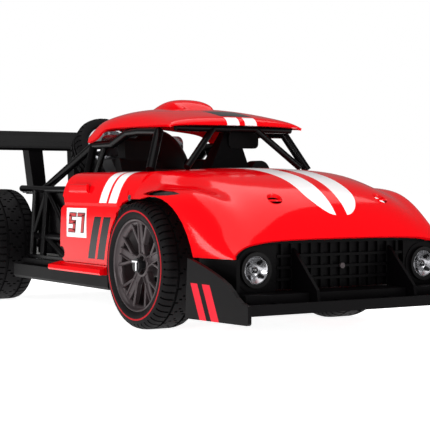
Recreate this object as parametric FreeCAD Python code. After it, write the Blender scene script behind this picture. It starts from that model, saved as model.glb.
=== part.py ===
import FreeCAD, Part
import math
import os
from FreeCAD import Vector

# Remote-controlled drift car with an open tube-frame cab, rear wing and rear-wheel drive.
# +X is forward, +Y is the car's left and +Z is up, in millimetres.
# Sub-parts are drawn with x = 0 at the front axle and z = 0 on the ground. Each one is then
# moved forward by FRONT_AXLE_X, which puts the origin on the ground under the middle of the car.

# ---- driving dimensions ----
NOSE_X = 105.0                 # tip of the end plates, ahead of the front axle
TAIL_X = -240.0                # trailing edge of the wing
FRONT_AXLE_X = -(NOSE_X + TAIL_X) / 2
REAR_AXLE_X = -194.5
FRONT_R = 31.0                 # front tyre radius
FRONT_WIDTH = 23.0
FRONT_OUTER_Y = 66.5           # outer face of a front tyre
REAR_R = 33.5
REAR_WIDTH = 28.0
REAR_OUTER_Y = 70.0
RIM_R = 22.5                   # bead radius of every rim
FIT = 0.05                     # radial clearance of a running fit
SKIN = 1.6                     # wall of the painted body panels
FLOOR_LOW = 17.0               # underside of the chassis
FLOOR_TOP = 19.5
KINGPIN_Y = 37.0
STEER_ARM = 14.0               # from the kingpin back to the tie rod
STEER_LIMIT = 20.0             # degrees to each side
WHEEL_ROOM = 0.8               # left free round a front wheel over its steering travel
SERVO_ARM = 9.6
PANEL_Y = 62.0                 # widest part of a side panel
SILL_Y = 63.0
HEADLIGHT = (77.0, 48.0, 32.3)
FIN_Y = 27.4
PLATE_Y = 69.0                 # inner face of a front end plate
GEAR_MODULE = 0.7
SPUR_TEETH = 36
PINION_TEETH = 12
MOTOR_RISE = 12.0              # motor shaft above the rear axle
DECK_Z = 66.0

GEAR_CENTRES = GEAR_MODULE * (SPUR_TEETH + PINION_TEETH) / 2
MOTOR_X = REAR_AXLE_X + math.sqrt(GEAR_CENTRES ** 2 - MOTOR_RISE ** 2)
MOTOR_Z = REAR_R + MOTOR_RISE
SIDES = (("right", -1), ("left", 1))
X, Y, Z = Vector(1, 0, 0), Vector(0, 1, 0), Vector(0, 0, 1)


# ---- small building blocks ----
def block(low, high):
    size = [b - a for a, b in zip(low, high)]
    return Part.makeBox(size[0], size[1], size[2], Vector(*low))


def rounded(shape, radius, direction):
    """Rounds the straight edges that run along a direction."""
    edges = []
    for edge in shape.Edges:
        if len(edge.Vertexes) == 2 and edge.Curve.TypeId == "Part::GeomLine":
            run = edge.Vertexes[1].Point - edge.Vertexes[0].Point
            if abs(run.normalize().dot(direction)) > 0.99:
                edges.append(edge)
    return shape.makeFillet(radius, edges)


def rod(start, end, radius):
    """A round bar from one point to another."""
    start, end = Vector(*start), Vector(*end)
    return Part.makeCylinder(radius, (end - start).Length, start, end - start)


def joined(shapes):
    """One solid from overlapping shapes."""
    return shapes[0].multiFuse(shapes[1:]).removeSplitter() if len(shapes) > 1 else shapes[0]


def tubes(paths, radius):
    """Bars along each path, with a ball at every bend, as one solid."""
    shapes = []
    for path in paths:
        for start, end in zip(path, path[1:]):
            shapes.append(rod(start, end, radius))
        for point in path[1:-1]:
            shapes.append(Part.makeSphere(radius, Vector(*point)))
    return joined(shapes)


def prism_xz(outline, y_low, y_high):
    """A plate whose outline is given as x, z points, between two values of y."""
    points = [Vector(x, y_low, z) for x, z in outline]
    face = Part.Face(Part.makePolygon(points + points[:1]))
    return face.extrude(Vector(0, y_high - y_low, 0))


def prism_xy(outline, z_low, z_high):
    points = [Vector(x, y, z_low) for x, y in outline]
    face = Part.Face(Part.makePolygon(points + points[:1]))
    return face.extrude(Vector(0, 0, z_high - z_low))


def prism_yz(outline, x_low, x_high):
    points = [Vector(x_low, y, z) for y, z in outline]
    face = Part.Face(Part.makePolygon(points + points[:1]))
    return face.extrude(Vector(x_high - x_low, 0, 0))


def turned(profile, centre):
    """A ring turned about an axis along Y, from radius, y points."""
    points = [centre + Vector(0, y, radius) for radius, y in profile]
    face = Part.Face(Part.makePolygon(points + points[:1]))
    return face.revolve(centre, Y, 360)


def smooth_surface(rows):
    """A cubic surface that rows of poles pull into shape."""
    surface = Part.BSplineSurface()
    knots, mults = [], []
    for count in (len(rows), len(rows[0])):
        spans = count - 3
        knots.append([float(n) for n in range(spans + 1)])
        mults.append([4] + [1] * (spans - 1) + [4])
    surface.buildFromPolesMultsKnots(rows, mults[0], mults[1], knots[0], knots[1],
                                     False, False, 3, 3)
    return surface


def net_normal(rows, i, j):
    """The direction square to a net of poles at one of them."""
    last_i, last_j = len(rows) - 1, len(rows[0]) - 1
    along = rows[min(i + 1, last_i)][j] - rows[max(i - 1, 0)][j]
    across = rows[i][min(j + 1, last_j)] - rows[i][max(j - 1, 0)]
    return along.cross(across).normalize()


def sheet_metal(rows, thickness):
    """A skin whose outer face follows rows of poles, with its inner face a thickness inside."""
    outer = [[Vector(*point) for point in row] for row in rows]
    inner = [[outer[i][j] + net_normal(outer, i, j) * thickness for j in range(len(outer[0]))]
             for i in range(len(outer))]
    faces = [smooth_surface(outer).toShape(), smooth_surface(inner).toShape()]
    for out_edge, in_edge in zip(faces[0].Edges, faces[1].Edges):
        faces.append(Part.makeRuledSurface(out_edge, in_edge))
    shell = Part.Shell(faces)
    shell.sewShape()
    solid = Part.Solid(shell.Shells[0] if shell.ShapeType != "Shell" else shell)
    if solid.Volume < 0:
        solid.reverse()
    return solid


def both_sides(rows):
    """Rows for the left half, from the middle outwards, mirrored to give the whole width."""
    right = [[(x, -y, z) for x, y, z in row] for row in rows[:0:-1]]
    return right + rows


def mirrored(shape):
    return shape.mirror(Vector(0, 0, 0), Y)


def on_side(shape, side):
    """A shape drawn on the left, put on the side asked for."""
    return shape if side > 0 else mirrored(shape)


def pair(shape):
    """A left-hand piece and its mirror image, as two solids in one shape."""
    return Part.makeCompound([shape, mirrored(shape)])


def clear_of_wheels(shape):
    """Cuts away the room that the front wheels need over their steering travel."""
    inner_y = FRONT_OUTER_Y - FRONT_WIDTH - WHEEL_ROOM
    wheel = Part.makeCylinder(FRONT_R + WHEEL_ROOM, FRONT_WIDTH + 2 * WHEEL_ROOM,
                              Vector(0, inner_y, FRONT_R), Y)
    for step in range(-6, 7):
        turn = wheel.copy()
        turn.rotate(Vector(0, KINGPIN_Y, 0), Z, STEER_LIMIT * step / 6)
        shape = shape.cut(turn).cut(mirrored(turn))
    return max(shape.Solids, key=lambda solid: solid.Volume)


def save(name, shape):
    """Checks a sub-part, moves it to the car's own frame and writes its file."""
    placed = shape.copy()
    placed.translate(Vector(FRONT_AXLE_X, 0, 0))
    good = placed.isValid() and placed.Solids and all(s.isClosed() for s in placed.Solids)
    print(name, len(placed.Solids), round(placed.Volume), "" if good else "BAD")
    placed.exportStep("parts/" + name + ".step")


# ---- painted body ----
def front_clip():
    """Bonnet, both front wings and the nose, as one moulded skin."""
    rows = [
        [(-18, 0, 78.3), (0, 0, 78.3), (15, 0, 78.0), (29, 0, 77.1), (45, 0, 74.5),
         (57, 0, 70.9), (68, 0, 65.0), (77, 0, 56.5), (81.5, 0, 45.8)],
        [(-18, 16, 78.0), (0, 16, 78.0), (15, 16, 77.7), (29, 16, 76.7), (45, 16, 74.0),
         (57, 16, 70.2), (68, 16, 64.3), (77, 16, 56.2), (81.4, 16, 45.8)],
        [(-18, 31, 77.2), (0, 31, 77.2), (15, 31, 76.8), (29, 30, 75.7), (45, 30, 72.6),
         (57, 30, 68.8), (67.5, 30, 63.8), (77, 30, 55.8), (81.2, 30, 45.6)],
        [(-18, 48.2, 76.8), (0, 47.2, 76.4), (15, 45.5, 75.0), (29, 44.2, 73.2), (43, 42.5, 69.8),
         (56, 40.5, 66.2), (67.5, 40, 61.2), (77, 41, 53.2), (80.8, 41.5, 45.2)],
        [(-18, 54, 77.0), (0, 54, 76.4), (15, 51.3, 67.4), (29, 50.4, 67.0), (43, 49.2, 65.8),
         (55, 48.3, 63.4), (66.5, 48, 58.6), (76, 48, 51.4), (80.4, 48.2, 44.5)],
        [(-18, 58.8, 74.0), (0, 58.4, 71.2), (15, 57.6, 68.4), (29, 57.2, 69.0), (45, 56.6, 67.6),
         (55, 56, 64.6), (65.5, 55.4, 58.6), (75, 54.8, 50.3), (79.8, 54.6, 43.4)],
        [(-18, 61.2, 67.5), (0, 61.6, 67.0), (15, 63.8, 66.4), (29, 63.6, 66.6), (43, 63, 64.6),
         (53.5, 62.2, 60.0), (64, 61.2, 52.8), (73.5, 60.3, 45.6), (79.8, 59.8, 40.8)],
        [(-18, 62.6, 61.5), (0, 66.4, 63.4), (15, 68.8, 63.4), (29, 68.7, 63.0), (42, 68.2, 59.6),
         (52, 67.4, 54.0), (62.5, 65.9, 47.0), (73, 63.8, 42.0), (81, 62.1, 38.8)],
        [(-18, 63.2, 47.0), (0, 68.8, 46.0), (15, 69.9, 45.0), (29, 69.8, 44.0), (42, 69.4, 40.0),
         (52, 68.6, 36.5), (62.5, 66.9, 36.6), (73, 64.5, 36.7), (82, 62.0, 36.8)],
    ]
    skin = sheet_metal(both_sides(rows), SKIN)
    rear = prism_xy([(-30, -80), (-4.8, -80), (-4.8, -44), (-9, -40), (-9, 40), (-4.8, 44),
                     (-4.8, 80), (-30, 80)], 20, 90)
    below = block((40, -80, 20), (90, 80, 37.5))
    skin = skin.cut(rear).cut(below)
    arch = [(-20, 20), (-20, 55), (-5.5, 60.3), (1, 62.2), (8, 63.5), (14, 64.1), (20, 64.0),
            (27, 63.0), (33, 61.2), (38, 58.9), (42.5, 56.0), (47, 52.3), (51.2, 47.4),
            (54.4, 42.5), (56.8, 37.5), (56.8, 20)]
    vent = [(5, 65.2), (11, 66.8), (20, 67.2), (30, 66.6), (37, 65.4), (30, 64.7), (20, 64.5),
            (11, 64.6)]
    for _, side in SIDES:
        skin = skin.cut(on_side(prism_xz(arch, 40, 90), side))
        skin = skin.cut(on_side(prism_xz(vent, 58.6, 90), side))
        skin = skin.cut(Part.makeCylinder(3.5, 60, Vector(66, side * 30.4, 40), Z))
    return clear_of_wheels(skin)


def side_panel(side):
    """A door panel, rolled inwards at the top, with grooves, screw pockets and a wheel cut-out."""
    section = [(45.5, 76.2), (51, 76.4), (55.6, 75.5), (58.6, 72.6), (60.6, 67.5), (61.7, 60),
               (PANEL_Y, 50), (61.9, 38), (61, 28)]
    rows = [[(x, y, z) for x in (-96, -70, -35, -2)] for y, z in section]
    skin = sheet_metal(rows, SKIN)
    outline = [(-5, 80), (-5, 63.7), (-12, 62.4), (-19, 59.5), (-27, 53), (-33, 44), (-36.5, 34),
               (-37.5, 28.8), (-88, 28.8), (-90.5, 31), (-91, 36), (-90, 48), (-89.3, 58),
               (-88.5, 66), (-87.2, 72), (-84, 77), (-82, 80)]
    skin = skin.common(prism_xz(outline, 30, 70))
    skin = skin.cut(block((-88, PANEL_Y - 0.9, 58.6), (-26, 70, 60.2)))
    for z in (60.5, 33.5):
        skin = skin.cut(rod((-89.5, 50, z), (-89.5, 70, z), 3.2))
    crease = prism_xz([(-14.6, 76), (-13.8, 76), (-15.6, 64), (-16.4, 64)], 60.2, 70)
    skin = skin.cut(crease)
    skin = skin.cut(rod((-14, 50, 63.2), (-14, 70, 63.2), 1.6))
    return on_side(clear_of_wheels(skin), side)


def roof_panel():
    rows = [
        [(-5.6, 0, 99.9), (-6.2, 0, 103.6), (-14, 0, 105.6), (-30, 0, 108.6), (-50, 0, 111.0),
         (-70, 0, 111.6), (-86, 0, 110.6), (-98, 0, 107.6), (-104, 0, 103.2)],
        [(-6.8, 20, 99.8), (-7.4, 20, 103.2), (-15, 20, 104.9), (-30, 20, 107.7),
         (-50, 20, 110.1), (-70, 20, 110.6), (-86, 20, 109.4), (-98, 20, 105.8),
         (-104, 20, 101.0)],
        [(-8.8, 33, 99.7), (-9.4, 33, 102.2), (-16, 33, 103.5), (-30, 33, 105.7),
         (-50, 33, 107.9), (-70, 33, 108.2), (-86, 33, 106.8), (-97, 33, 105.0),
         (-104, 33, 100.0)],
        [(-9.8, 38.6, 99.6), (-10.4, 38.6, 101.0), (-17, 38.6, 101.9), (-30, 38.8, 103.1),
         (-50, 39.2, 104.6), (-70, 39.4, 104.6), (-85, 39.6, 103.4), (-94, 39.4, 101.5),
         (-102, 39.0, 97.0)],
        [(-10.2, 40.2, 99.4), (-11, 40.4, 99.5), (-17, 40.6, 99.6), (-30, 40.8, 99.7),
         (-50, 41.0, 99.9), (-70, 41.2, 99.9), (-82, 41.4, 99.6), (-88, 41.4, 93.6),
         (-99, 41.0, 93.0)],
    ]
    return sheet_metal(both_sides(rows), -1.4)


def roof_scoop(roof):
    """A raised blister along the middle of the roof, standing on its outer face."""
    rows = []
    for x, half, top in ((-49, 9.5, 108.6), (-53.5, 13, 114.4), (-62, 13.8, 116.4),
                         (-76, 11.5, 114.6), (-91, 6.5, 108.5)):
        rows.append([(x, -half - 1.5, 106), (x, -half, 112), (x, -0.8 * half, top),
                     (x, 0, top + 0.6), (x, 0.8 * half, top), (x, half, 112),
                     (x, half + 1.5, 106)])
    hood = sheet_metal(rows, 1.3).cut(roof)
    return max(hood.Solids, key=lambda solid: solid.Volume)


def running_board(side):
    board = prism_yz([(58.5, 24.3), (67.6, 24.3), (68.2, 25.2), (67.8, 27.0), (60.9, 28.6),
                      (58.5, 28.6)], -93, -32.6)
    board = board.cut(prism_yz([(61.5, 27.6), (66.5, 26.4), (66.5, 29), (61.5, 29)], -90, -36))
    return on_side(clear_of_wheels(board), side)


def door_handle():
    grip = block((-78.5, 59.6, 65.4), (-58, 62.6, 69.9))
    grip = rounded(grip, 1.2, X)
    wall = block((-100, 40, 40), (0, 60.9, 80))
    return grip.cut(wall)


# ---- chassis ----
def chassis_tub():
    """Floor, sill rails and the openings for battery, switch and screws."""
    half = [(64, 30), (44, 30), (42, 27), (-39.5, 27), (-44, 33), (-44, 57), (-150, 57),
            (-158, 40), (-160, 38), (-214, 38), (-218, 34)]
    outline = half + [(x, -y) for x, y in half[::-1]]
    floor = prism_xy(outline, FLOOR_LOW, FLOOR_TOP)
    pieces = [floor]
    for _, side in SIDES:
        rail = prism_yz([(55, 16.6), (62, 16.6), (SILL_Y, 18), (SILL_Y, 24.3), (55, 24.3)],
                        -150, -33.5)
        rail = rail.cut(block((-45, 50, 10), (-30, 57.2, 30)))
        pieces.append(on_side(rail, side))
        pieces.append(on_side(block((-150, 55, 24), (-95, 57.5, 27.5)), side))
    tub = joined(pieces)
    tub = tub.cut(block((-124, -20, 10), (-62, 20, 30)))
    tub = tub.cut(block((-58, -34, 10), (-48, -29, 30)))
    for y in (-22.5, 22.5):
        runner = block((-128, min(y, y + math.copysign(3, y)), 14.6),
                       (-58, max(y, y + math.copysign(3, y)), FLOOR_LOW))
        lip = block((-128, min(y - math.copysign(1.4, y), y), 14.6),
                    (-58, max(y - math.copysign(1.4, y), y), 15.4))
        tub = tub.fuse(runner).fuse(lip)
    return clear_of_wheels(tub.removeSplitter())


def battery_cover():
    """A plate that slides back in the two runners under the floor."""
    plate = block((-127, -22.2, 15.6), (-59, 22.2, 16.8))
    ribs = [block((-66 - 3 * n, -8, 15.0), (-65 - 3 * n, 8, 15.6)) for n in range(4)]
    return joined([plate] + ribs)


def power_switch():
    """A slider whose flange rides on top of the floor and whose knob hangs through the slot."""
    flange = block((-57.5, -36.5, FLOOR_TOP + 0.1), (-51.5, -26.5, 21.0))
    stem = block((-56.6, -33.6, 15.2), (-52.6, -29.4, FLOOR_TOP + 0.2))
    return joined([flange, stem])


def battery_pack():
    cells = [rod((-121, y, 30), (-65, y, 30), 8.6) for y in (-9, 9)]
    tray = block((-122, -19, FLOOR_TOP + 0.2), (-64, 19, 24))
    return joined([tray] + cells)


def circuit_board():
    board = block((-90, -26, 42), (-50, 26, 43.4))
    chips = [block((x, y, 43.2), (x + 8, y + 8, 45.5)) for x, y in ((-82, -18), (-66, 4), (-82, 8))]
    posts = [rod((x, y, FLOOR_TOP), (x, y, 42.2), 1.8) for x in (-87, -53) for y in (-23.5, 23.5)]
    aerial = rod((-54, 0, 43), (-54, 0, 60), 0.9)
    return joined([board] + chips + posts + [aerial])


# ---- steering ----
def front_beam():
    """Cross beam with a fork at each end that carries a kingpin."""
    parts = [block((-6, -27, FLOOR_TOP), (6, 27, 22.5)), block((-6, -24, 22), (6, 24, 41))]
    hollow = block((-7, -19, 26), (7, 19, 50))
    for _, side in SIDES:
        for low, high in ((19.6, 23.0), (38.0, 41.0)):
            arm = rounded(block((-5, 20, low), (5, 41, high)), 3, Z)
            parts.append(on_side(arm, side))
    beam = joined(parts).cut(hollow)
    for _, side in SIDES:
        beam = beam.cut(rod((0, side * KINGPIN_Y, 15), (0, side * KINGPIN_Y, 45), 1.6 + FIT))
    return beam


def knuckle(side):
    """Steering knuckle: kingpin, hub carrier, stub axle and steering arm."""
    pin = rod((0, KINGPIN_Y, 19.0), (0, KINGPIN_Y, 42.5), 1.6)
    carrier = rod((0, KINGPIN_Y, 23.3), (0, KINGPIN_Y, 37.7), 3.6)
    web = block((-3, KINGPIN_Y, 26.5), (3, 43, 35.5))
    stub = rod((0, 40, FRONT_R), (0, 65.2, FRONT_R), 2.0)
    shoulder = rod((0, 42, FRONT_R), (0, 46.4, FRONT_R), 4.2)
    head = rod((0, 63.6, FRONT_R), (0, 65.4, FRONT_R), 3.4)
    arm = block((-STEER_ARM - 2, KINGPIN_Y - 2.2, 23.6), (-1, KINGPIN_Y + 2.2, 26.4))
    arm = rounded(arm, 1.6, Z)
    ball = rod((-STEER_ARM, KINGPIN_Y, 25), (-STEER_ARM, KINGPIN_Y, 31.4), 1.2)
    return on_side(joined([pin, carrier, web, stub, shoulder, head, arm, ball]), side)


def tie_rod():
    """Cross link with a slotted end over each knuckle's pin and a fork at its middle."""
    bar = block((-STEER_ARM - 2.6, -KINGPIN_Y - 3.4, 27.2), (-STEER_ARM + 3.6, KINGPIN_Y + 3.4, 29.8))
    bar = rounded(bar, 2.2, Z)
    for y in (-KINGPIN_Y, 0, KINGPIN_Y):
        reach = 2.4 if y else 1.8
        back = 1.5 if y else 3.2
        slot = block((-STEER_ARM - back, y - 1.5, 20), (-STEER_ARM + reach, y + 1.5, 40))
        bar = bar.cut(rounded(slot, 1.3, Z))
    return bar


def steering_servo():
    x = -STEER_ARM - SERVO_ARM
    case = block((x - 9, -7, FLOOR_TOP), (x + 5, 7, 24.4))
    gear_head = rod((x, 0, 24.2), (x, 0, 25.4), 3.6)
    shaft = rod((x, 0, 25), (x, 0, 34.2), 1.4)
    return joined([case, gear_head, shaft])


def servo_arm():
    """The horn on the servo, with a pin that runs in the fork of the tie rod."""
    x = -STEER_ARM - SERVO_ARM
    hub = rod((x, 0, 30.6), (x, 0, 33.6), 3.4)
    horn = rounded(block((x - 1, -2, 30.6), (-STEER_ARM + 2, 2, 32.6)), 1.5, Z)
    pin = rod((-STEER_ARM, 0, 26.4), (-STEER_ARM, 0, 31), 1.2)
    return joined([hub, horn, pin]).cut(rod((x, 0, 20), (x, 0, 40), 1.4 + FIT))


# ---- wheels and drive ----
def rim(outer_y, width, axle_z, axle_x, bore):
    """Dished wheel on the left: barrel, hub and five split spokes."""
    centre = Vector(axle_x, 0, axle_z)
    inner_y = outer_y - width
    barrel = turned([(RIM_R, outer_y - 0.8), (RIM_R, inner_y + 1), (20.8, inner_y + 1),
                     (20.4, inner_y + 6), (20.4, outer_y - 4), (21.2, outer_y - 0.8)], centre)
    hub = turned([(bore, outer_y - 3.2), (bore, inner_y + 4), (5.2, inner_y + 4),
                  (5.8, outer_y - 6), (5.0, outer_y - 3.2)], centre)
    spokes = []
    for n in range(5):
        for spread in (-1, 1):
            foot = Vector(spread * 1.3, outer_y - 6.4, 4.5)
            points = [Vector(spread * 0.2, 0, 4), Vector(spread * 2.6, 0, 4),
                      Vector(spread * 7.6, 0, 20.2), Vector(spread * 5.4, 0, 21.0)]
            face = Part.Face(Part.makePolygon(points + points[:1]))
            spoke = face.extrude(Vector(0, 3.4, 0))
            spoke.translate(Vector(0, foot.y, 0))
            spoke.rotate(Vector(0, 0, 0), Y, 72 * n)
            spoke.translate(centre)
            spokes.append(spoke)
    return joined([barrel, hub] + spokes)


def tyre(outer_y, width, radius, axle_x):
    """Tyre on the left: flat tread, round shoulders, bulged side walls."""
    inner_y = outer_y - width
    shoulder = 4.0
    profile = [(RIM_R + FIT, inner_y + 1), (RIM_R + FIT, outer_y - 1)]
    profile += [(RIM_R + 1.6, outer_y - 0.2), (radius - shoulder - 1.2, outer_y)]
    for n in range(7):
        angle = math.radians(90 * n / 6)
        profile.append((radius - shoulder + shoulder * math.sin(angle),
                        outer_y - shoulder + shoulder * math.cos(angle)))
    for n in range(6, -1, -1):
        angle = math.radians(90 * n / 6)
        profile.append((radius - shoulder + shoulder * math.sin(angle),
                        inner_y + shoulder - shoulder * math.cos(angle)))
    profile += [(radius - shoulder - 1.2, inner_y), (RIM_R + 1.6, inner_y + 0.2)]
    return turned(profile, Vector(axle_x, 0, radius))


def gear(teeth, centre, y_low, y_high, bore, turn):
    """Spur gear about an axis along Y. The turn is the angle of its first tooth from +X."""
    pitch_r = GEAR_MODULE * teeth / 2
    root_r, tip_r = pitch_r - 1.15 * GEAR_MODULE, pitch_r + 0.85 * GEAR_MODULE
    step = 2 * math.pi / teeth
    points = []
    for n in range(teeth):
        middle = turn + n * step
        for radius, share in ((root_r, -0.34), (tip_r, -0.12), (tip_r, 0.12), (root_r, 0.34)):
            angle = middle + share * step
            points.append(centre + Vector(radius * math.cos(angle), 0, radius * math.sin(angle)))
    for point in points:
        point.y = y_low
    face = Part.Face(Part.makePolygon(points + points[:1]))
    blank = face.extrude(Vector(0, y_high - y_low, 0))
    axis = Vector(centre.x, y_low - 1, centre.z)
    return blank.cut(Part.makeCylinder(bore, y_high - y_low + 2, axis, Y))


def spur_gear():
    line = math.atan2(MOTOR_RISE, MOTOR_X - REAR_AXLE_X)
    wheel = gear(SPUR_TEETH, Vector(REAR_AXLE_X, 0, REAR_R), -12, -7, 2.5, line)
    for n in range(6):
        angle = math.radians(60 * n)
        x, z = REAR_AXLE_X + 8.6 * math.cos(angle), REAR_R + 8.6 * math.sin(angle)
        wheel = wheel.cut(rod((x, -20, z), (x, 0, z), 2.4))
    boss = rod((REAR_AXLE_X, -12, REAR_R), (REAR_AXLE_X, -5.6, REAR_R), 4.6)
    return joined([wheel, boss]).cut(rod((REAR_AXLE_X, -20, REAR_R), (REAR_AXLE_X, 0, REAR_R), 2.5))


def motor_pinion():
    line = math.atan2(MOTOR_RISE, MOTOR_X - REAR_AXLE_X)
    half_step = math.pi / PINION_TEETH
    teeth = gear(PINION_TEETH, Vector(MOTOR_X, 0, MOTOR_Z), -12, -7, 1.0,
                 line + math.pi + half_step)
    shaft = rod((MOTOR_X, -12.6, MOTOR_Z), (MOTOR_X, -3.4, MOTOR_Z), 1.0)
    return joined([teeth, shaft])


def drive_motor():
    can = rod((MOTOR_X, -2.6, MOTOR_Z), (MOTOR_X, 20, MOTOR_Z), 10.6)
    tail = rod((MOTOR_X, 20, MOTOR_Z), (MOTOR_X, 22.4, MOTOR_Z), 4.0)
    bore = rod((MOTOR_X, -4, MOTOR_Z), (MOTOR_X, 12, MOTOR_Z), 1.0 + FIT)
    return joined([can, tail]).cut(bore)


def gearbox_housing():
    """Closed box round the motor and gears, on the chassis floor."""
    low, high = (REAR_AXLE_X - 19, -20, FLOOR_TOP), (MOTOR_X + 14.5, 28, 59)
    outer = rounded(block(low, high), 3, Y)
    inner = block((low[0] + 2, low[1] + 2, FLOOR_TOP - 1), (high[0] - 2, high[1] - 2, high[2] - 2))
    wall = block((low[0] + 1, -5, FLOOR_TOP), (high[0] - 1, -3, high[2] - 1))
    box = joined([outer.cut(inner), wall])
    box = box.cut(rod((REAR_AXLE_X, -30, REAR_R), (REAR_AXLE_X, 40, REAR_R), 4.5))
    box = box.cut(rod((MOTOR_X, -6, MOTOR_Z), (MOTOR_X, 0, MOTOR_Z), 3.0))
    box = box.cut(rod((REAR_AXLE_X, -6, REAR_R), (REAR_AXLE_X, 0, REAR_R), 5.2))
    ribs = [block((low[0] + 6 + 9 * n, -20.8, 24), (low[0] + 8 + 9 * n, -19.5, 56)) for n in range(5)]
    ribs = [r for r in ribs if abs(r.BoundBox.Center.x - REAR_AXLE_X) > 7]
    return joined([box] + ribs)


def axle_bushes():
    ring = rod((REAR_AXLE_X, 24.5, REAR_R), (REAR_AXLE_X, 30, REAR_R), 4.5)
    ring = joined([ring, rod((REAR_AXLE_X, 28, REAR_R), (REAR_AXLE_X, 30, REAR_R), 6.0)])
    ring = ring.cut(rod((REAR_AXLE_X, 0, REAR_R), (REAR_AXLE_X, 40, REAR_R), 2.5 + FIT))
    other = rod((REAR_AXLE_X, -16.5, REAR_R), (REAR_AXLE_X, -23, REAR_R), 4.5)
    other = joined([other, rod((REAR_AXLE_X, -21, REAR_R), (REAR_AXLE_X, -23, REAR_R), 6.0)])
    other = other.cut(rod((REAR_AXLE_X, 0, REAR_R), (REAR_AXLE_X, -40, REAR_R), 2.5 + FIT))
    return Part.makeCompound([ring, other])


def rear_axle():
    shaft = rod((REAR_AXLE_X, -67, REAR_R), (REAR_AXLE_X, 67, REAR_R), 2.5)
    nuts = []
    for side in (-1, 1):
        points = [Vector(REAR_AXLE_X + 4 * math.cos(math.radians(60 * n)), side * 66.9,
                         REAR_R + 4 * math.sin(math.radians(60 * n))) for n in range(6)]
        face = Part.Face(Part.makePolygon(points + points[:1]))
        nuts.append(face.extrude(Vector(0, side * 2.4, 0)))
    return joined([shaft] + nuts)


# ---- cab and frame ----
A_FOOT, A_TOP = (-16, 48.2, 77.2), (-24.4, 38.6, 96.6)
C_TOP, C_FOOT = (-99, 37.2, 91.4), (-95.5, 44, 70)
RAIL_TOP, RAIL_BEND = (-59.3, 37.2, 97.0), (-77, 37.2, 91.5)


def windscreen_frame():
    """Two braces that rise from the bonnet to a header under the roof's front edge."""
    header = rod((-13.6, -35, 98.4), (-13.6, 35, 98.4), 1.9)
    brace = rod((-3.5, 34.6, 78.2), (-13.6, 13.0, 98.4), 1.7)
    return joined([header, brace, mirrored(brace)])


def cab_hoop(side):
    """Front pillar, roof rail, bent rear pillar and the long strut down to the rear frame."""
    rail = [A_FOOT, A_TOP, (-45, 37.8, 97.4), RAIL_TOP, RAIL_BEND, C_TOP, C_FOOT]
    strut = [C_TOP, (-148, 43.6, 67.6)]
    second = [(-85.5, 37.2, 91.4), (-88, 42.6, 72)]
    return on_side(joined([tubes([rail, strut], 2.3), tubes([second], 1.8)]), side)


def rear_frame(side):
    """Truss between the cab and the rear axle, from the floor to the upper rail."""
    top, middle, low = 66.8, 40.0, 28.6
    rails = [[(-97, 48, top), (-134, 49, top), (-176, 46, top + 0.6)],
             [(-97, 50, middle), (-134, 50, middle), (-152, 49, middle)]]
    posts = [[(-134, 49, top), (-134, 52, low)], [(-97, 48, top), (-97, 54, low)],
             [(-152, 48, top), (-149, 52, low)]]
    braces = [[(-134, 49, top), (-101, 51, middle)], [(-134, 49, top), (-151, 50, middle)],
              [(-134, 50, middle), (-99, 53, low)]]
    parts = [tubes(rails, 2.0), tubes(posts, 1.9), tubes(braces, 1.5)]
    foot = block((-152, 50.5, 27.5), (-95, 54.5, 29.5))
    web = block((-150.0, 46.4, 30.2), (-97.4, 47.7, 65.2))
    return on_side(joined(parts + [foot, web]), side)


def rear_deck():
    """Deck plate with louvres between the two trusses, on cross tubes."""
    half = [(-97, 40), (-170, 38), (-176, 30), (-182, 24), (-230, 22)]
    plate = prism_xy(half + [(x, -y) for x, y in half[::-1]], DECK_Z - 1.6, DECK_Z)
    for n in range(5):
        slot = rounded(block((-165 + 8 * n, -26, 60), (-161 + 8 * n, -12, 70)), 1.9, Z)
        plate = plate.cut(slot).cut(mirrored(slot))
    bars = tubes([[(-174, -44.1, DECK_Z), (-174, 44.1, DECK_Z)]], 1.9)
    return joined([plate, bars])


def cab_tray():
    """Dashboard, cab floor and rear bulkhead in one moulding."""
    floor = block((-92, -54, 60), (-24, 54, 62))
    dash = prism_xz([(-10.5, 60), (-10.5, 74.6), (-13, 76.4), (-20, 77.6), (-28, 76.6),
                     (-30, 72), (-27, 62), (-27, 60)], -44, 44)
    bulkhead = block((-93.5, -38, 60), (-91.5, 38, DECK_Z - 0.1))
    cowl = rod((-22, 22, 76.4), (-30, 22, 76.4), 6).common(block((-40, 0, 70), (0, 50, 90)))
    return clear_of_wheels(joined([floor, dash, bulkhead, cowl]))


def seat(side):
    """Bucket seat: cushion and back, with a squared head rest on the driver's side."""
    cushion = rounded(block((-74, 9, 62.2), (-44, 35, 68)), 3, Z)
    back = prism_xz([(-74, 64), (-66, 64), (-74, 84), (-80.5, 84)], 9.5, 34.5)
    parts = [cushion, rounded(back, 2.5, Y)]
    if side < 0:
        parts.append(prism_xz([(-81.4, 82), (-73.4, 82), (-75.5, 93.6), (-77, 95), (-82.5, 95),
                               (-84, 93.6)], 13, 31))
    return on_side(joined(parts), side)


def roof_post():
    """Screw post behind the windscreen that carries the roof, with a mirror at its top."""
    base, top = [], []
    for x, y in ((-30, -10.7), (-19, -10.7), (-19, 13), (-30, 13), (-30, -10.7)):
        base.append(Vector(x, y, 77.8))
    for x, y in ((-27.5, -0.3), (-22.5, -0.3), (-22.5, 7.8), (-27.5, 7.8), (-27.5, -0.3)):
        top.append(Vector(x, y, 97.0))
    post = Part.makeLoft([Part.makePolygon(base), Part.makePolygon(top)], True)
    mirror = rounded(block((-23.4, 1, 88.6), (-20.4, 19.5, 97.0)), 2.5, X)
    return joined([post, mirror])


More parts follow.
